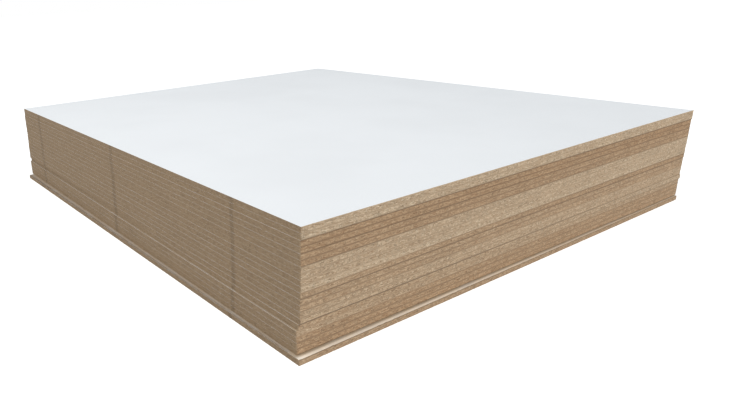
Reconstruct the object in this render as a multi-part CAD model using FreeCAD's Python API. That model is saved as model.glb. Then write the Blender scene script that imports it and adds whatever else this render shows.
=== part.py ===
"""A stack of melamine-faced particle boards, lying flat one on another.

Millimetres, +Z up. The stack's longer side runs along Y. The origin is the centre of the
bottom board's underside, so the stack rests on the plane z = 0.

Each board is one solid: its two melamine faces are pressed on in the factory and don't
come apart from the particle core. Nothing ties the boards, so each is a node of its own.
"""
import FreeCAD, Part
import os

# One board, as it is sold
BOARD_LENGTH = 2070.0
BOARD_WIDTH = 1830.0
BOARD_THICKNESS = 16.0

# The boards were set down in packs, and each pack lies a little askew. From the bottom up:
# how many boards a pack has, how far in its front left corner is from the bottom board's
# along X and along Y, and its turn in degrees about that corner, in the boards' own plane.
# The bottom board lies square.
PACKS = (
    (1, (0.0, 0.0), 0.0),
    (4, (8.1, 18.7), -0.35),
    (1, (12.8, 17.2), -0.35),
    (1, (15.2, 14.6), -0.16),
    (3, (16.0, 14.4), -0.16),
    (1, (16.8, 13.4), -0.16),
    (2, (17.6, 13.6), -0.16),
    (6, (18.6, 13.3), -0.16),
    (2, (20.2, 12.0), -0.16),
)


def board(level, inset, turn):
    """One board at its level of the stack, set in and turned at its front left corner."""
    corner = FreeCAD.Vector(
        inset[0] - BOARD_WIDTH / 2,
        inset[1] - BOARD_LENGTH / 2,
        level * BOARD_THICKNESS,
    )
    shape = Part.makeBox(BOARD_WIDTH, BOARD_LENGTH, BOARD_THICKNESS, corner)
    if turn:
        shape.rotate(corner, FreeCAD.Vector(0, 0, 1), turn)
    return shape


def stack():
    """All the boards, from the bottom up."""
    boards = []
    for count, inset, turn in PACKS:
        for _ in range(count):
            boards.append(board(len(boards), inset, turn))
    return boards


os.makedirs("parts", exist_ok=True)
for number, shape in enumerate(stack(), start=1):
    shape.exportStep(f"parts/board_{number:02d}.step")
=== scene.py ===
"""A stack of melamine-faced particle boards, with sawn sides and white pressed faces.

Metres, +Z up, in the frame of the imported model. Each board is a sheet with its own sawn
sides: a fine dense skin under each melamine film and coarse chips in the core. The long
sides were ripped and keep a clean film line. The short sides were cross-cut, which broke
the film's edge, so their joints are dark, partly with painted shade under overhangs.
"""

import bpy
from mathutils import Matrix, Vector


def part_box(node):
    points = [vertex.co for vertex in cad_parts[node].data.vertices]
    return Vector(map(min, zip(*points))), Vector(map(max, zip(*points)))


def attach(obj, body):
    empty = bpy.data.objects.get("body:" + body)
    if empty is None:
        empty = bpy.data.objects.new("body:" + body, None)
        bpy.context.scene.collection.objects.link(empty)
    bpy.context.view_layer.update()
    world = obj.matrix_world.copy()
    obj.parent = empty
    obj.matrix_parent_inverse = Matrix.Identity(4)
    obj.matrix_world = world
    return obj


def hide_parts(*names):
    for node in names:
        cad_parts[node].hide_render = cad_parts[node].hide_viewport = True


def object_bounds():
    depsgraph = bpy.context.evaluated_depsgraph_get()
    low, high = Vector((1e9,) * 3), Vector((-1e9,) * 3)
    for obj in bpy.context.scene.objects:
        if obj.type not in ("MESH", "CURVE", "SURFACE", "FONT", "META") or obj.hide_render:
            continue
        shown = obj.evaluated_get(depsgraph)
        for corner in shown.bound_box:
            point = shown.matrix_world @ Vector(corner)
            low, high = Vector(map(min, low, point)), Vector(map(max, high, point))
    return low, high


bl_info = {
    "name": "Melamine-Faced Board Stack",
    "version": (1, 0, 0),
    "blender": (4, 5, 0),
    "location": "3D View > Sidebar > Boards",
    "description": "Builds a stack of melamine-faced particle boards around its packed frame",
    "category": "Object",
}

import math

import bpy
import numpy as np
from bpy.props import FloatProperty, FloatVectorProperty, IntProperty, PointerProperty
from mathutils import Euler

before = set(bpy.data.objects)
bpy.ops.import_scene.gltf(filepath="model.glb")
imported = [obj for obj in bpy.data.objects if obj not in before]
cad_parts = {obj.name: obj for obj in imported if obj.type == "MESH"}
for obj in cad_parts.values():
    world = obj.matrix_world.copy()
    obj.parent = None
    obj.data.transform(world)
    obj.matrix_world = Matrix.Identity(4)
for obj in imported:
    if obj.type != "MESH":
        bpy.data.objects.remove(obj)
CAD_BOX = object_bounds()

BOARDS = sorted(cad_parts)
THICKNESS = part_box(BOARDS[0])[1].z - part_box(BOARDS[0])[0].z
MM = 0.001

# How a cross-cut side looks is set by how pale its chips are, from 0 to 1. A colour
# multiplies the chips' own colours, and a shade darkens the dense skins beside the core.
DARKEST = ((0.815, 0.74, 0.69), 0.74)
PALEST = ((1.08, 1.162, 1.287), 0.97)

# The boards from the bottom up, in batches that came off the press together: how many,
# how pale at the left and at the right end, and how dark the joint under them is there.
# That darkness is partly painted shade, under boards that overhang the ones below.
BATCHES = (
    (1, (0.35, 0.35), (0.0, 0.0)),
    (3, (0.20, 0.28), (0.8, 0.7)),
    (1, (0.62, 0.55), (0.0, 0.3)),
    (1, (0.41, 0.90), (0.0, 0.7)),
    (2, (0.69, 0.76), (1.5, 0.0)),
    (2, (0.40, 0.35), (0.5, 0.1)),
    (1, (0.38, 0.14), (0.9, 0.8)),
    (1, (1.00, 1.00), (0.1, 0.6)),
    (3, (0.80, 0.91), (0.2, 0.1)),
    (2, (0.19, 0.19), (0.7, 0.4)),
    (2, (0.12, 0.02), (0.6, 0.3)),
    (2, (0.97, 0.92), (0.8, 0.9)),
)

# Ripped sides lie more evenly coloured under their dust than the cross-cut ones. Their dust
# also evens out the chips, to this share.
RIPPED_LOOK = ((0.81, 0.815, 0.83), 0.97)
RIPPED_DUST = 0.36

# Sawdust on the ledges where a board sticks out from under the next, with painted shade.
# On the cross-cut front side it is pale at the rim, browner towards the right, and darkened
# by painted shade near the wall of boards behind the ledge. Along the left side it is a dim
# brown, darkest at the rim, where the dark is painted shade.
PALE_DUST = (0.98, 0.87, 0.73)
RIGHT_DUST = (0.66, 0.52, 0.375)
WALL_SHADE_DUST = (0.43, 0.33, 0.22)
LEFT_LEDGE_BROWN = (0.40, 0.32, 0.235)
LEFT_RIM_SHADE = (0.21, 0.155, 0.11)

# A ledge lies no further in than this from the stack's outermost front or left side
LEDGE_REACH = 0.045

# Faint darker bands down the left side: their places along Y and their widths, then how much they darken
DARK_BANDS = ((-0.745, 0.017), (0.021, 0.026), (0.828, 0.028))
BAND_DARKNESS = 0.2

# How strongly each finish shines, as the shader's specular level
SAWN_SHINE = 0.3
MELAMINE_SHINE = 0.25
DUSTY_SHINE = 0.1

# The chips' own colours, from the darkest chip to the palest
CHIP_COLOURS = (
    (0.00, (0.16, 0.085, 0.045)),
    (0.07, (0.30, 0.18, 0.10)),
    (0.25, (0.43, 0.29, 0.17)),
    (0.60, (0.54, 0.385, 0.24)),
    (0.88, (0.66, 0.49, 0.315)),
    (1.00, (0.78, 0.62, 0.42)),
)

# The lights and the camera
LIGHT_COLOUR = (1.0, 0.98, 0.95)
HIGH_LIGHT_PLACE = (-2.4, -0.6, 4.6)
HIGH_LIGHT_WIDTH = 2.4
FRONT_LIGHT_PLACE = (0.3, -6.0, 1.9)
FRONT_LIGHT_SPREAD = math.radians(36)
CAMERA_PLACE = (-1.709, -2.0195, 0.8283)
CAMERA_DEGREES = (70.352, 2.624, -33.690)
CAMERA_SHIFT = (0.1891, 0.0194)


# ---------------------------------------------------------------- node trees


class Wire:
    """A socket of a node tree. Arithmetic on wires adds Math nodes to the tree."""

    def __init__(self, tree, socket):
        self.tree = tree
        self.socket = socket

    def math(self, operation, *others):
        """A Math node on this wire and the others."""
        sockets = dict(enumerate((self, *others)))
        return self.tree.add("ShaderNodeMath", sockets, operation=operation)

    def __add__(self, other):
        return self.math("ADD", other)

    def __sub__(self, other):
        return self.math("SUBTRACT", other)

    def __mul__(self, other):
        return self.math("MULTIPLY", other)

    def __truediv__(self, other):
        return self.math("DIVIDE", other)

    def __rsub__(self, other):
        return self.tree.add("ShaderNodeMath", {0: other, 1: self}, operation="SUBTRACT")

    __radd__ = __add__
    __rmul__ = __mul__

    def output(self, name):
        """Another output of the node that this wire comes from."""
        return Wire(self.tree, self.socket.node.outputs[name])

    def fade(self, start, end):
        """0 where the value is start, 1 where it is end, smooth between them."""
        limits = {"Value": self, "From Min": start, "From Max": end}
        return self.tree.add("ShaderNodeMapRange", limits, interpolation_type="SMOOTHSTEP")


class Tree:
    """A node tree that is filled by one call for each node."""

    def __init__(self, node_tree):
        self.nodes = node_tree.nodes
        self.links = node_tree.links

    def add(self, kind, sockets=None, output=0, stops=None, **settings):
        """Adds a node, gives it its settings and then its sockets, and returns an output."""
        node = self.nodes.new(kind)
        for name, value in settings.items():
            setattr(node, name, value)
        if stops:
            self.set_stops(node.color_ramp, stops)
        for name, value in (sockets or {}).items():
            if isinstance(value, Wire):
                self.links.new(value.socket, node.inputs[name])
            else:
                node.inputs[name].default_value = value
        return Wire(self, node.outputs[output]) if node.outputs else node

    @staticmethod
    def set_stops(ramp, stops):
        """Gives a colour ramp its stops, each a position and a colour."""
        while len(ramp.elements) < len(stops):
            ramp.elements.new(1.0)
        for element, (position, colour) in zip(ramp.elements, stops):
            element.position = position
            element.color = (*colour, 1.0)

    def times(self, colour, other):
        """One colour multiplied by another."""
        return self.mix({"Factor": 1.0, "A": colour, "B": other}, blend_type="MULTIPLY")

    def mix(self, sockets, **settings):
        """A Mix node for colours. Its sockets are Factor, A and B, by their places in the node."""
        places = {"Factor": 0, "A": 6, "B": 7}
        numbered = {places[name]: value for name, value in sockets.items()}
        return self.add("ShaderNodeMix", numbered, output=2, data_type="RGBA", **settings)

    def blend(self, share, start, end):
        """A colour between two, each three numbers or a wire."""
        colours = [c if isinstance(c, Wire) else (*c, 1.0) for c in (start, end)]
        return self.mix({"Factor": share, "A": colours[0], "B": colours[1]})

    def grey(self, value):
        """A colour with the same value in each channel."""
        return self.add("ShaderNodeCombineColor", {"Red": value, "Green": value, "Blue": value})

    def vector(self, operation, *operands):
        """A Vector Math node."""
        return self.add("ShaderNodeVectorMath", dict(enumerate(operands)), operation=operation)


def new_material(name):
    """An empty material and its tree."""
    material = bpy.data.materials.new(name)
    material.use_nodes = True
    material.node_tree.nodes.clear()
    tree = Tree(material.node_tree)
    return material, tree


def finish_material(tree, sockets):
    """Closes a material with one Principled shader."""
    shader = tree.add("ShaderNodeBsdfPrincipled", sockets)
    tree.add("ShaderNodeOutputMaterial", {"Surface": shader})


# ----------------------------------------------------------------- materials


def chip_pattern(tree, place, length, thickness, seed_shift):
    """Flat chips that lie in the board's plane: a random number for each, and its rim."""
    stretch = (1 / length, 1 / length, 1 / thickness)
    spot = tree.vector("ADD", tree.vector("MULTIPLY", place, stretch), seed_shift)
    chips = tree.add("ShaderNodeTexVoronoi", {"Vector": spot, "Scale": 1.0}, output="Color")
    rims = tree.add(
        "ShaderNodeTexVoronoi", {"Vector": spot, "Scale": 1.0}, feature="DISTANCE_TO_EDGE"
    )
    tone = tree.add("ShaderNodeSeparateColor", {"Color": chips}, output="Red")
    return tone, rims


def warped_place(tree, amount, scale):
    """Object coordinates, pushed about a little so that chips have ragged outlines."""
    place = tree.add("ShaderNodeTexCoord", output="Object")
    wander = tree.add(
        "ShaderNodeTexNoise", {"Vector": place, "Scale": scale, "Detail": 2.0}, output="Color"
    )
    centred = tree.vector("SUBTRACT", wander, (0.5, 0.5, 0.5))
    pushed = tree.vector("MULTIPLY", centred, (amount, amount, amount * 0.4))
    return place, tree.vector("ADD", place, pushed)


def sawn_edge_material():
    """The sawn side of a board: coarse chips in the core and a fine dense skin each side."""
    material, tree = new_material("sawn_particle_edge")
    place, ragged = warped_place(tree, 1.6 * MM, 420.0)
    look = tree.add("ShaderNodeAttribute", output="Color", attribute_name="board_look")
    skin_shade = look.output("Alpha")

    z = tree.add("ShaderNodeSeparateXYZ", {"Vector": place}, output="Z")
    level = z / THICKNESS
    board = level.math("FLOOR")
    height = (level - board) * (THICKNESS / MM)
    depth = height.math("MINIMUM", THICKNESS / MM - height)
    shifts = {"X": board * 7.31, "Y": board * 3.17, "Z": board * 1.93}
    own_pattern = tree.add("ShaderNodeCombineXYZ", shifts)

    coarse, coarse_rims = chip_pattern(tree, ragged, 7.5 * MM, 1.9 * MM, own_pattern)
    small, small_rims = chip_pattern(tree, ragged, 2.6 * MM, 0.8 * MM, own_pattern)
    dust = tree.add("ShaderNodeTexNoise", {"Vector": place, "Scale": 1900.0, "Detail": 3.0})
    clumps = tree.add("ShaderNodeTexNoise", {"Vector": ragged, "Scale": 95.0, "Detail": 3.0})

    core = (depth + clumps * 1.6).fade(2.0, 4.2)
    tone = (coarse * 0.62 + small * 0.38) * core + (small * 0.30 + 0.35) * (1 - core)
    tone = tone + (dust - 0.5) * 0.35 + (clumps - 0.5) * 0.35
    dusted = tree.add("ShaderNodeAttribute", output="Fac", attribute_name="side_dust")
    tone = tone - (tone - 0.5) * dusted
    colour = tree.add("ShaderNodeValToRGB", {"Fac": tone}, stops=CHIP_COLOURS)

    # Gaps between the chips, only in the loose core. They darken the colour below, which is painted
    # shade in the gaps.
    gaps = (1 - coarse_rims.fade(0.02, 0.12)) * core * clumps.fade(0.42, 0.62)
    crevices = (1 - small_rims.fade(0.0, 0.10)) * 0.35 * core
    hollow = gaps.math("MAXIMUM", crevices)

    # Long streaks of lighter and darker stock, as the mat was laid
    lay = tree.vector("MULTIPLY", place, (5.5, 5.5, 520.0))
    streaks = tree.add("ShaderNodeTexNoise", {"Vector": lay, "Scale": 1.0, "Detail": 3.0})
    patches = tree.add("ShaderNodeTexNoise", {"Vector": place, "Scale": 16.0, "Detail": 2.0})
    shade = 1 + (streaks - 0.5) * 0.42 * (1 - dusted) + (patches - 0.5) * 0.16 * (1 - dusted)
    shade = shade * (1 - (1 - skin_shade) * (1 - depth.fade(0.6, 3.6)))
    # Painted shade: the colour darkens in the gaps between the chips
    shade = shade * (1 - hollow * 0.55 * (1 - dusted)) * dark_bands(tree, place)

    colour = tree.times(colour, look)
    colour = tree.times(colour, tree.grey(shade))
    relief = tone * 0.5 + (1 - hollow) * 0.8 + dust * 0.15
    bump = tree.add("ShaderNodeBump", {"Height": relief, "Strength": 0.55, "Distance": 0.35 * MM})
    finish_material(tree, {
        "Base Color": colour,
        "Roughness": 0.82 + (dust - 0.5) * 0.2,
        "Normal": bump,
        "Specular IOR Level": SAWN_SHINE,
    })
    return material


def dark_bands(tree, place):
    """Faint darker bands down the left side."""
    x = tree.add("ShaderNodeSeparateXYZ", {"Vector": place}, output="X")
    y = x.output("Y")
    reach = CAD_BOX[0][0] + LEDGE_REACH
    left_side = x.fade(reach, reach - 5 * MM)
    marked = 0.0
    for centre, width in DARK_BANDS:
        away = (y - centre).math("ABSOLUTE")
        marked = away.fade(width * 0.75, width * 0.25) + marked
    return 1 - marked * left_side * BAND_DARKNESS


def chip_material():
    """Single chips that the saw left standing out of the core."""
    material, tree = new_material("raised_chip")
    look = tree.add("ShaderNodeAttribute", output="Color", attribute_name="board_look")
    tone = tree.add("ShaderNodeAttribute", output="Fac", attribute_name="chip_tone")
    place = tree.add("ShaderNodeTexCoord", output="Object")
    fibres = tree.add("ShaderNodeTexNoise", {"Vector": place, "Scale": 900.0, "Detail": 2.0})
    dusted = tree.add("ShaderNodeAttribute", output="Fac", attribute_name="side_dust")
    tone = tone + (fibres - 0.5) * 0.3
    tone = tone - (tone - 0.5) * dusted
    colour = tree.add("ShaderNodeValToRGB", {"Fac": tone}, stops=CHIP_COLOURS)
    bump = tree.add("ShaderNodeBump", {"Height": fibres, "Strength": 0.4, "Distance": 0.1 * MM})
    finish_material(tree, {
        "Base Color": tree.times(colour, look),
        "Roughness": 0.75 + (fibres - 0.5) * 0.2,
        "Normal": bump,
        "Specular IOR Level": SAWN_SHINE,
    })
    return material


def sawdust_and_shade(tree, place, clean):
    """Melamine under a film of dust and painted shade: how much lies there, and the colour it gives.

    Across a ledge the colours change by its width: 0 is by the wall behind it, 1 at its rim. The darker
    colours by the front wall and at the left rim are painted shade.
    """
    x = tree.add("ShaderNodeSeparateXYZ", {"Vector": place}, output="X")
    y = x.output("Y")
    (left, front, _), (right, _, _) = CAD_BOX
    front_wall, left_wall = wall_distances(tree, x, y)
    across_front = front_wall / (front_wall + (y - front))
    across_left = left_wall / (left_wall + (x - left))
    rim_dust = tree.blend(x.fade(left, right), PALE_DUST, RIGHT_DUST)
    # Painted shade: the front ledge's dust darkens towards the wall behind it
    front_dust_and_shade = tree.blend(across_front.fade(0.08, 0.68), WALL_SHADE_DUST, rim_dust)
    # Painted shade: the left ledge's brown darkens to its rim
    left_brown_and_shade = tree.blend(across_left.fade(0.50, 0.80), LEFT_LEDGE_BROWN, LEFT_RIM_SHADE)
    on_front = y.fade(front + LEDGE_REACH, front + LEDGE_REACH - 5 * MM)
    colour = tree.blend(on_front, left_brown_and_shade, front_dust_and_shade)

    grains = tree.add("ShaderNodeTexNoise", {"Vector": place, "Scale": 700.0, "Detail": 3.0})
    drifts = tree.add("ShaderNodeTexNoise", {"Vector": place, "Scale": 26.0, "Detail": 2.0})
    shade = 1 + (grains - 0.5) * 0.5 + (drifts - 0.5) * 0.3
    amount = 0.93 + (drifts - 0.5) * 0.4
    return amount, tree.blend(amount, clean, tree.times(colour, tree.grey(shade)))


def wall_distances(tree, x, y):
    """How far a place lies outside the second board's front side, and outside its left side."""
    corners = board_outline(BOARDS[1])[0]
    near = corners[np.argmin(corners.sum(axis=1))]
    rightness = corners[:, 0] - corners[:, 1]
    right, far = corners[np.argmax(rightness)], corners[np.argmin(rightness)]
    walls = ((right - near)[1], -(right - near)[0]), (-(far - near)[1], (far - near)[0])
    distances = []
    for wall in walls:
        outward = np.array(wall) / np.hypot(*wall)
        shift = float(near @ outward)
        distances.append(x * float(outward[0]) + y * float(outward[1]) - shift)
    return distances


def melamine_material(name, colour, dusty):
    """The pressed face: satin, with a fine pearl grain and faint clouding, and dust with painted shade
    on the ledges if asked.
    """
    material, tree = new_material(name)
    place = tree.add("ShaderNodeTexCoord", output="Object")
    clouds = tree.add("ShaderNodeTexNoise", {"Vector": place, "Scale": 2.3, "Detail": 3.0})
    pearl = tree.add("ShaderNodeTexNoise", {"Vector": place, "Scale": 620.0, "Detail": 2.0})
    stretched = tree.vector("MULTIPLY", place, (1.4, 9.0, 1.0))
    wipes = tree.add("ShaderNodeTexNoise", {"Vector": stretched, "Scale": 1.0, "Detail": 4.0})
    dulled = tuple(channel * 0.97 for channel in colour)
    tint = tree.blend(clouds.fade(0.35, 0.75), colour, dulled)
    roughness = 0.68 + (wipes - 0.5) * 0.16 + (pearl - 0.5) * 0.06
    if dusty:
        amount, tint = sawdust_and_shade(tree, place, tint)
        roughness = roughness + amount * 0.2
    bump = tree.add("ShaderNodeBump", {"Height": pearl, "Strength": 0.12, "Distance": 0.05 * MM})
    finish_material(tree, {
        "Base Color": tint,
        "Roughness": roughness,
        "Normal": bump,
        "Specular IOR Level": DUSTY_SHINE if dusty else MELAMINE_SHINE,
    })
    return material


# ------------------------------------------------------------------- boards

# The places of a board's materials
CLEAN, SAWN, DUSTY = range(3)

# The rows of a side's mesh that lie in its core
CORE_ROWS = slice(3, 9)

# How deep the saw's roughness goes, the share of a core that is torn out in pits, and the
# least and greatest depths of a pit and of a nick in the arris
ROUGHNESS_DEPTH = 0.14 * MM
TORN_SHARE = 0.10
PIT_DEPTHS = (0.25 * MM, 0.9 * MM)
NICK_DEPTHS = (0.3 * MM, 1.3 * MM)

# How much of a skin's brightness a joint of darkness 1 takes, which at overhangs is partly
# painted shade, and how dark the joints within a batch are at their left and right ends
JOINT_DEPTH = 0.42
INNER_JOINT = (0.30, 0.10)


def board_outline(node):
    """The four corners of a board as its CAD node has them, anticlockwise, and its heights."""
    points = np.array([tuple(v.co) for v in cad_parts[node].data.vertices])
    corners = np.unique(points[:, :2].round(6), axis=0)
    middle = corners.mean(axis=0)
    angles = np.arctan2(corners[:, 1] - middle[1], corners[:, 0] - middle[0])
    return corners[np.argsort(angles)], points[:, 2].min(), points[:, 2].max()


def is_ripped(normal):
    """Whether the side with this outward normal runs along the board's length."""
    return abs(normal[0]) > abs(normal[1])


def side_columns(length, spacing, corner, random):
    """Distances along one side for the columns of its mesh, unevenly spaced."""
    count = max(2, int(length / spacing))
    even = np.linspace(corner, length - corner, count)
    jitter = random.uniform(-0.35, 0.35, count) * spacing
    jitter[[0, -1]] = 0.0
    return even + jitter


def slow_wave(distances, size, random):
    """A slow wander along a side, never below zero."""
    phases = random.uniform(0, 2 * math.pi, 3)
    waves = sum(np.sin(distances * k + p) for k, p in zip((1.7, 4.1, 9.3), phases))
    return size * (waves / 3 + 1) / 2


def sawn_relief(columns, rows, random):
    """How far each point of a side's core sits back: a rough cut with torn-out pits."""
    rough = random.uniform(0.0, ROUGHNESS_DEPTH, (columns, rows))
    torn = random.random((columns, rows)) < TORN_SHARE
    return rough + torn * random.uniform(*PIT_DEPTHS, (columns, rows))


class SideRows:
    """The rows of a side's mesh from the underside up: heights and how far each sits back.

    The film ends at the height film, and the wear at the height rim. The arris itself sits
    back by arris, and the film's inner edge by film_back.
    """

    def __init__(self, film, rim, arris, film_back):
        skin = (0.0, film, rim, 2.4 * MM)
        core = (4.6 * MM, 6.9 * MM)
        half = skin + core
        self.heights = np.array(half + tuple(THICKNESS - h for h in reversed(half)))
        back = (arris, film_back, 0.03 * MM, 0.0, 0.0, 0.0)
        self.back = np.array(back + back[::-1])


def side_strip(start, end, rows, settings, random):
    """The points of one side, an array of columns by rows by x, y, z."""
    along = end - start
    length = float(np.hypot(*along))
    along = along / length
    normal = np.array((along[1], -along[0]))
    distances = side_columns(length, settings.column_spacing, settings.corner_wear, random)
    count = len(distances)
    nick_share = settings.ripped_nicks if is_ripped(normal) else settings.cross_nicks
    back = np.tile(rows.back, (count, 1))
    back += slow_wave(distances, settings.side_wander, random)[:, None]
    back += settings.chip_stand + random.uniform(0.0, settings.set_back)
    back[:, CORE_ROWS] += sawn_relief(count, CORE_ROWS.stop - CORE_ROWS.start, random)
    for edge, inner in ((0, 1), (-1, -2)):
        nicked = random.random(count) < nick_share
        nick = nicked * random.uniform(*NICK_DEPTHS, count)
        back[:, edge] += nick
        back[:, inner] += nick * 0.9
    flat = start + distances[:, None] * along
    points = np.empty((count, len(rows.heights), 3))
    points[:, :, :2] = flat[:, None, :] - back[:, :, None] * normal
    points[:, :, 2] = rows.heights
    return points


def look_of(paleness):
    """The look of chips that are this pale: three numbers of colour and the skins' shade."""
    ends = [np.array((*colour, skin)) for colour, skin in (DARKEST, PALEST)]
    return ends[0] + (ends[1] - ends[0]) * paleness


def side_looks(count, rows, normal, look):
    """The look at each point of a side: its chips' colour and, as alpha, its skins' shade.

    A cross-cut side's look goes from the board's left end to its right end, whichever way
    the side's columns run.
    """
    if is_ripped(normal):
        colour, skin_shade = RIPPED_LOOK
        return np.full((count, rows, 4), (*colour, skin_shade))
    share = np.linspace(0.0, 1.0, count)[:, None, None]
    share = share if normal[1] < 0 else 1 - share
    ends = [look_of(paleness) for paleness in look.paleness]
    tints = np.tile(ends[0] * (1 - share) + ends[1] * share, (1, rows, 1))
    lower, upper = slice(0, rows // 2), slice(rows // 2, rows)
    # The joints darken the skins beside them, partly as painted shade under overhangs
    for half, joint in ((lower, look.joint_below), (upper, look.joint_above)):
        darkness = joint[0] * (1 - share) + joint[1] * share
        tints[:, half, 3] *= 1 - JOINT_DEPTH * darkness[:, :, 0]
    return tints


class BoardLook:
    """How pale one board is at its two ends, and how dark the joints below and above it are."""

    def __init__(self, paleness, joint_below, joint_above):
        self.paleness = paleness
        self.joint_below = joint_below
        self.joint_above = joint_above


def board_looks(count):
    """The looks of all the boards from the bottom up. Boards past the batches repeat the last."""
    paleness, joints = [], []
    for size, pale, joint in BATCHES:
        paleness += [pale] * size
        joints += [joint] + [INNER_JOINT] * (size - 1)
    while len(paleness) < count:
        paleness.append(paleness[-1])
        joints.append(INNER_JOINT)
    joints.append(INNER_JOINT)
    return [BoardLook(paleness[i], joints[i], joints[i + 1]) for i in range(count)]


def board_mesh(node, number, look, settings):
    """One board: four sawn sides, each with its own cut, closed by two melamine faces."""
    random = np.random.default_rng(settings.seed + number)
    corners, low, high = board_outline(node)
    ripped = SideRows(film=settings.film, rim=0.8 * MM, arris=0.14 * MM, film_back=0.02 * MM)
    torn = settings.torn_arris
    crosscut = SideRows(film=settings.film * 0.5, rim=1.0 * MM, arris=torn, film_back=torn * 0.8)
    strips, tints, on_ripped = [], [], []
    for start, end in zip(corners, np.roll(corners, -1, axis=0)):
        normal = np.array((end[1] - start[1], start[0] - end[0]))
        rows = ripped if is_ripped(normal) else crosscut
        strip = side_strip(start, end, rows, settings, random)
        strips.append(strip)
        tints.append(side_looks(len(strip), strip.shape[1], normal, look))
        on_ripped += [bool(is_ripped(normal))] * len(strip)
    ring = np.concatenate(strips)
    ring[:, :, 2] += low
    ring[:, 0, 2] = low + settings.face_gap
    ring[:, -1, 2] = high - settings.face_gap
    mesh = ring_to_mesh(node, ring)
    by_corner = near_corners([len(strip) for strip in strips])
    face = CLEAN if node == BOARDS[-1] else DUSTY
    paint_sides(mesh, np.array(on_ripped), by_corner, face)
    looks = mesh.attributes.new("board_look", "FLOAT_COLOR", "POINT")
    looks.data.foreach_set("color", np.concatenate(tints).astype(np.float32).ravel())
    mesh.validate()
    mesh.update()
    return mesh


def near_corners(strip_lengths):
    """Which columns of faces lie by an upright corner, where no raised chip may overhang."""
    near = np.zeros(sum(strip_lengths), dtype=bool)
    for last in np.cumsum(strip_lengths):
        near[np.arange(last - 2, last + 1) % len(near)] = True
    return near


def ring_to_mesh(node, ring):
    """A closed mesh from a ring of columns of points, with a face below and one on top."""
    columns, rows, _ = ring.shape
    column, row = np.meshgrid(np.arange(columns), np.arange(rows - 1), indexing="ij")
    here = column * rows + row
    beside = (column + 1) % columns * rows + row
    quads = np.stack((here, beside, beside + 1, here + 1), axis=-1).reshape(-1, 4)
    underside = (np.arange(columns)[::-1] * rows).tolist()
    top = (np.arange(columns) * rows + rows - 1).tolist()
    mesh = bpy.data.meshes.new(node + "_sheet")
    mesh.from_pydata(ring.reshape(-1, 3).tolist(), [], quads.tolist() + [underside, top])
    return mesh


def paint_sides(mesh, on_ripped, by_corner, face):
    """Gives the faces their materials, and marks the core and the dust of the ripped sides.

    on_ripped and by_corner say of each column whether its side is ripped and whether it lies
    by a corner. face is the material of the two large faces, which come last in the mesh.
    """
    columns = len(on_ripped)
    rows = len(mesh.vertices) // columns
    wall_rows = np.tile(np.arange(rows - 1), columns)
    is_rim = (wall_rows == 0) | (wall_rows == rows - 2)
    is_film = is_rim & np.repeat(on_ripped, rows - 1)
    in_core = (wall_rows >= CORE_ROWS.start) & (wall_rows < CORE_ROWS.stop - 1)
    in_core &= ~np.repeat(by_corner, rows - 1)

    material = np.append(np.where(is_film, CLEAN, SAWN), (face, face)).astype(np.int32)
    mesh.polygons.foreach_set("material_index", material)
    mesh.polygons.foreach_set("use_smooth", np.append(~is_rim, (False, False)))
    core = mesh.attributes.new("core_wall", "BOOLEAN", "FACE")
    core.data.foreach_set("value", np.append(in_core, (False, False)))
    dusted = mesh.attributes.new("side_dust", "FLOAT", "POINT")
    dusted.data.foreach_set("value", np.repeat(on_ripped, rows) * RIPPED_DUST)


# ------------------------------------------------------------- raised chips


CHIP_INPUTS = (
    ("Density", "NodeSocketFloat"),
    ("Chip Length", "NodeSocketFloat"),
    ("Chip Width", "NodeSocketFloat"),
    ("Chip Height", "NodeSocketFloat"),
    ("Seed", "NodeSocketInt"),
)


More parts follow.
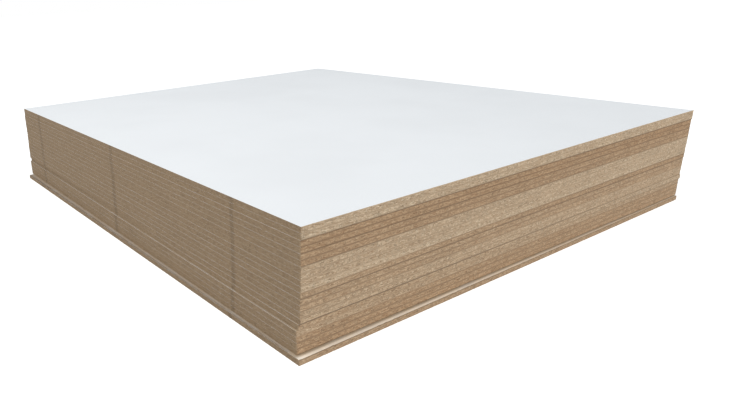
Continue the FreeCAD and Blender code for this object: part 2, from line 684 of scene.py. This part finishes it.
def chip_tree(material):
    """Geometry nodes that set small flat chips in the core of a board's sawn sides."""
    group = bpy.data.node_groups.new("raise_chips", "GeometryNodeTree")
    face = group.interface
    face.new_socket("Geometry", in_out="INPUT", socket_type="NodeSocketGeometry")
    for name, kind in CHIP_INPUTS:
        face.new_socket(name, in_out="INPUT", socket_type=kind)
    face.new_socket("Geometry", in_out="OUTPUT", socket_type="NodeSocketGeometry")
    tree = Tree(group)
    given = tree.add("NodeGroupInput", output="Geometry")
    seed = given.output("Seed")

    core = tree.add(
        "GeometryNodeInputNamedAttribute", {"Name": "core_wall"}, output="Attribute", data_type="BOOLEAN"
    )
    points = tree.add("GeometryNodeDistributePointsOnFaces", {
        "Mesh": given, "Selection": core, "Density": given.output("Density"), "Seed": seed,
    }, output="Points")
    upright = tree.add("FunctionNodeAxesToRotation", {
        "Primary Axis": points.output("Normal"), "Secondary Axis": (0.0, 0.0, 1.0),
    }, primary_axis="Z", secondary_axis="Y")
    lean = random_number(tree, -0.45, 0.45, seed + 1)
    turn = tree.add("ShaderNodeCombineXYZ", {"Z": lean})
    turned = tree.add("FunctionNodeRotateRotation", {
        "Rotation": upright,
        "Rotate By": tree.add("FunctionNodeEulerToRotation", {"Euler": turn}),
    }, rotation_space="LOCAL")

    length = random_number(tree, 0.35, 1.0, seed + 2) * given.output("Chip Length")
    width = random_number(tree, 0.4, 1.0, seed + 3) * given.output("Chip Width")
    height = random_number(tree, 0.5, 1.0, seed + 4) * given.output("Chip Height")
    size = tree.add("ShaderNodeCombineXYZ", {"X": length, "Y": width, "Z": height})
    splinter = tree.add("GeometryNodeMeshCone", {
        "Vertices": 5, "Radius Top": 0.38, "Radius Bottom": 0.5, "Depth": 1.0,
    }, output="Mesh", fill_type="NGON")
    sunk = tree.add("GeometryNodeTransform", {"Geometry": splinter, "Translation": (0.0, 0.0, -0.55)})
    chips = tree.add("GeometryNodeInstanceOnPoints", {
        "Points": points, "Instance": sunk, "Rotation": turned, "Scale": size,
    })
    toned = tree.add("GeometryNodeStoreNamedAttribute", {
        "Geometry": chips, "Name": "chip_tone", "Value": random_number(tree, 0.05, 1.0, seed + 5),
    }, data_type="FLOAT", domain="INSTANCE")
    real = tree.add("GeometryNodeRealizeInstances", {"Geometry": toned})
    finished = tree.add("GeometryNodeSetMaterial", {"Geometry": real, "Material": material})
    joined = tree.nodes.new("GeometryNodeJoinGeometry")
    for part in (finished, given):
        tree.links.new(part.socket, joined.inputs[0])
    tree.add("NodeGroupOutput", {0: Wire(tree, joined.outputs[0])})
    return group


def random_number(tree, low, high, seed):
    """A random number for each point. The node's sockets 2 and 3 are its limits."""
    sockets = {2: low, 3: high, "Seed": seed}
    return tree.add("FunctionNodeRandomValue", sockets, output=1, data_type="FLOAT")


def raise_chips(piece, group, values):
    """Runs the chip tree on a piece and leaves a plain mesh."""
    modifier = piece.modifiers.new("chips", "NODES")
    modifier.node_group = group
    inputs = [item for item in group.interface.items_tree if item.in_out == "INPUT"]
    identifiers = {item.name: item.identifier for item in inputs}
    for name, value in values.items():
        modifier[identifiers[name]] = value
    bpy.context.view_layer.update()
    evaluated = piece.evaluated_get(bpy.context.evaluated_depsgraph_get())
    mesh = bpy.data.meshes.new_from_object(evaluated)
    piece.modifiers.remove(modifier)
    piece.data = mesh


# ----------------------------------------------------------------- settings


class BoardSettings(bpy.types.PropertyGroup):
    film: FloatProperty(
        name="Film", description="Height of the melamine film's edge on a ripped side",
        default=0.00014, unit="LENGTH", precision=5)
    torn_arris: FloatProperty(
        name="Torn arris", description="How far a cross-cut broke back the board's arris",
        default=0.0007, unit="LENGTH", precision=5)
    set_back: FloatProperty(
        name="Set back", description="Most that a board sits back from its neighbours",
        default=0.0003, unit="LENGTH", precision=5)
    side_wander: FloatProperty(
        name="Side wander", description="Slow in and out along a sawn side",
        default=0.00015, unit="LENGTH", precision=5)
    chip_stand: FloatProperty(
        name="Chip stand", description="Room left outside a side for the chips that stand proud",
        default=0.00035, unit="LENGTH", precision=5)
    face_gap: FloatProperty(
        name="Face gap", description="Air between a melamine face and the plane where two boards meet",
        default=0.00001, unit="LENGTH", precision=6)
    column_spacing: FloatProperty(
        name="Column spacing", description="Distance between the mesh columns along a side",
        default=0.008, unit="LENGTH", precision=4)
    corner_wear: FloatProperty(
        name="Corner wear", description="How far the upright corners are rubbed back",
        default=0.0009, unit="LENGTH", precision=5)
    ripped_nicks: FloatProperty(
        name="Ripped nicks", description="Share of a ripped side's film edge that is nicked",
        default=0.015, subtype="FACTOR", min=0, max=1)
    cross_nicks: FloatProperty(
        name="Cross-cut nicks", description="Share of a cross-cut side's film edge that is nicked",
        default=0.12, subtype="FACTOR", min=0, max=1)
    chip_density: FloatProperty(
        name="Chip density", description="Raised chips for each square metre of core", default=14000.0)
    chip_length: FloatProperty(
        name="Chip length", description="Length of the longest raised chip",
        default=0.008, unit="LENGTH", precision=4)
    chip_width: FloatProperty(
        name="Chip width", description="Width of the widest raised chip",
        default=0.0019, unit="LENGTH", precision=4)
    chip_height: FloatProperty(
        name="Chip height", description="Thickness of the thickest raised chip",
        default=0.0006, unit="LENGTH", precision=5)
    melamine: FloatVectorProperty(
        name="Melamine", description="Colour of the pressed faces", subtype="COLOR",
        size=3, min=0, max=1, default=(0.872, 0.893, 0.922))
    seed: IntProperty(name="Seed", description="Starts the random draws", default=40)


class StageSettings(bpy.types.PropertyGroup):
    floor_size: FloatProperty(
        name="Floor", description="Side of the square floor", default=60.0, unit="LENGTH")
    high_power: FloatProperty(
        name="High light", description="Power of the soft light high on the left",
        default=80.0, unit="POWER")
    front_strength: FloatProperty(
        name="Front light", description="Strength of the even light on the cross-cut side",
        default=1.5)
    sky_strength: FloatProperty(
        name="Sky", description="Strength of the even light from all round", default=0.535)
    lens: FloatProperty(
        name="Lens", description="Focal length of the camera", default=30.43, unit="CAMERA")


# ---------------------------------------------------------------- operators


class BOARDS_OT_lay_boards(bpy.types.Operator):
    """Builds every board of the stack with its sawn sides and its melamine faces"""

    bl_idname = "boards.lay_boards"
    bl_label = "Lay Boards"

    def execute(self, context):
        settings = context.scene.board_settings
        melamine = tuple(settings.melamine)
        materials = (
            melamine_material("white_melamine", melamine, dusty=False),
            sawn_edge_material(),
            melamine_material("dusty_shaded_melamine", melamine, dusty=True),
        )
        group = chip_tree(chip_material())
        for number, (node, look) in enumerate(zip(BOARDS, board_looks(len(BOARDS)))):
            self.lay(node, number, look, settings, materials, group)
        return {"FINISHED"}

    def lay(self, node, number, look, settings, materials, group):
        """Makes one board and tells the frame which node it stands for."""
        mesh = board_mesh(node, number, look, settings)
        for material in materials:
            mesh.materials.append(material)
        piece = bpy.data.objects.new(node + "_sheet", mesh)
        bpy.context.scene.collection.objects.link(piece)
        raise_chips(piece, group, {
            "Density": settings.chip_density,
            "Chip Length": settings.chip_length,
            "Chip Width": settings.chip_width,
            "Chip Height": settings.chip_height,
            "Seed": number * 10,
        })
        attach(piece, "root")
        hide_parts(node)


class BOARDS_OT_set_stage(bpy.types.Operator):
    """Puts the pale floor, the soft lights and the camera in place"""

    bl_idname = "boards.set_stage"
    bl_label = "Set Stage"

    def execute(self, context):
        settings = context.scene.stage_settings
        lay_floor(settings)
        light_sky(context.scene, settings)
        hang_lights(settings)
        place_camera(context.scene, settings)
        context.scene.view_settings.view_transform = "Standard"
        return {"FINISHED"}


def seen_directly(tree):
    """1 for rays from the camera, or by way of a mirror or glass, and 0 for light."""
    path = tree.add("ShaderNodeLightPath", output="Is Camera Ray")
    by_mirror = path.math("MAXIMUM", path.output("Is Glossy Ray"))
    return by_mirror.math("MAXIMUM", path.output("Is Transmission Ray"))


def lay_floor(settings):
    """A pale floor that shows near white and keeps the stack's shadow."""
    half = settings.floor_size / 2
    mesh = bpy.data.meshes.new("floor")
    corners = [(-half, -half, 0), (half, -half, 0), (half, half, 0), (-half, half, 0)]
    mesh.from_pydata(corners, [], [(0, 1, 2, 3)])
    floor = bpy.data.objects.new("floor", mesh)
    bpy.context.scene.collection.objects.link(floor)
    material, tree = new_material("pale_floor")
    lit = tree.add("ShaderNodeBsdfDiffuse", {"Color": (0.5, 0.5, 0.5, 1.0)})
    pale = tree.add("ShaderNodeBsdfDiffuse", {"Color": (0.9, 0.9, 0.9, 1.0)})
    glow = tree.add("ShaderNodeEmission", {"Color": (1.0, 1.0, 1.0, 1.0), "Strength": 0.55})
    shown = tree.add("ShaderNodeAddShader", {0: pale, 1: glow})
    surface = tree.add("ShaderNodeMixShader", {0: seen_directly(tree), 1: lit, 2: shown})
    tree.add("ShaderNodeOutputMaterial", {"Surface": surface})
    mesh.materials.append(material)


def light_sky(scene, settings):
    """A white background that lights the stack with a gentler, slightly cool light."""
    world = bpy.data.worlds.new("studio")
    world.use_nodes = True
    world.node_tree.nodes.clear()
    tree = Tree(world.node_tree)
    cool, plain = (0.94, 0.98, 1.0, 1.0), (1.0, 1.0, 1.0, 1.0)
    light = tree.add("ShaderNodeBackground", {"Color": cool, "Strength": settings.sky_strength})
    white = tree.add("ShaderNodeBackground", {"Color": plain, "Strength": 1.0})
    surface = tree.add("ShaderNodeMixShader", {0: seen_directly(tree), 1: light, 2: white})
    tree.add("ShaderNodeOutputWorld", {"Surface": surface})
    scene.world = world


def hang_lights(settings):
    """A soft light high on the left, and an even low one in front of the cross-cut side."""
    high = bpy.data.lights.new("high_light", "AREA")
    high.energy = settings.high_power
    high.size = HIGH_LIGHT_WIDTH
    front = bpy.data.lights.new("front_light", "SUN")
    front.energy = settings.front_strength
    front.angle = FRONT_LIGHT_SPREAD
    for lamp, place in ((high, HIGH_LIGHT_PLACE), (front, FRONT_LIGHT_PLACE)):
        lamp.color = LIGHT_COLOUR
        light = bpy.data.objects.new(lamp.name, lamp)
        light.location = place
        light.rotation_euler = (-light.location).to_track_quat("-Z", "Y").to_euler()
        bpy.context.scene.collection.objects.link(light)


def place_camera(scene, settings):
    """A low camera off the near left corner, shifted to set the stack to the left."""
    view = bpy.data.cameras.new("camera")
    view.sensor_width = 36.0
    view.lens = settings.lens
    view.shift_x, view.shift_y = CAMERA_SHIFT
    camera = bpy.data.objects.new("camera", view)
    camera.location = CAMERA_PLACE
    camera.rotation_euler = Euler([math.radians(angle) for angle in CAMERA_DEGREES])
    scene.collection.objects.link(camera)
    scene.camera = camera


# -------------------------------------------------------------------- panel


class BOARDS_PT_stack(bpy.types.Panel):
    """Lists the steps that build the stack and its stage"""

    bl_label = "Board Stack"
    bl_space_type = "VIEW_3D"
    bl_region_type = "UI"
    bl_category = "Boards"

    def draw(self, context):
        layout = self.layout
        for operator in (BOARDS_OT_lay_boards, BOARDS_OT_set_stage):
            layout.operator(operator.bl_idname)
        for settings in (context.scene.board_settings, context.scene.stage_settings):
            box = layout.box()
            for name in settings.__annotations__:
                box.prop(settings, name)


CLASSES = (BoardSettings, StageSettings, BOARDS_OT_lay_boards, BOARDS_OT_set_stage, BOARDS_PT_stack)


def register():
    for cls in CLASSES:
        bpy.utils.register_class(cls)
    bpy.types.Scene.board_settings = PointerProperty(type=BoardSettings)
    bpy.types.Scene.stage_settings = PointerProperty(type=StageSettings)


def unregister():
    del bpy.types.Scene.stage_settings
    del bpy.types.Scene.board_settings
    for cls in reversed(CLASSES):
        bpy.utils.unregister_class(cls)


def main():
    register()
    bpy.ops.boards.lay_boards()
    bpy.ops.boards.set_stage()


if __name__ == "__main__":
    main()
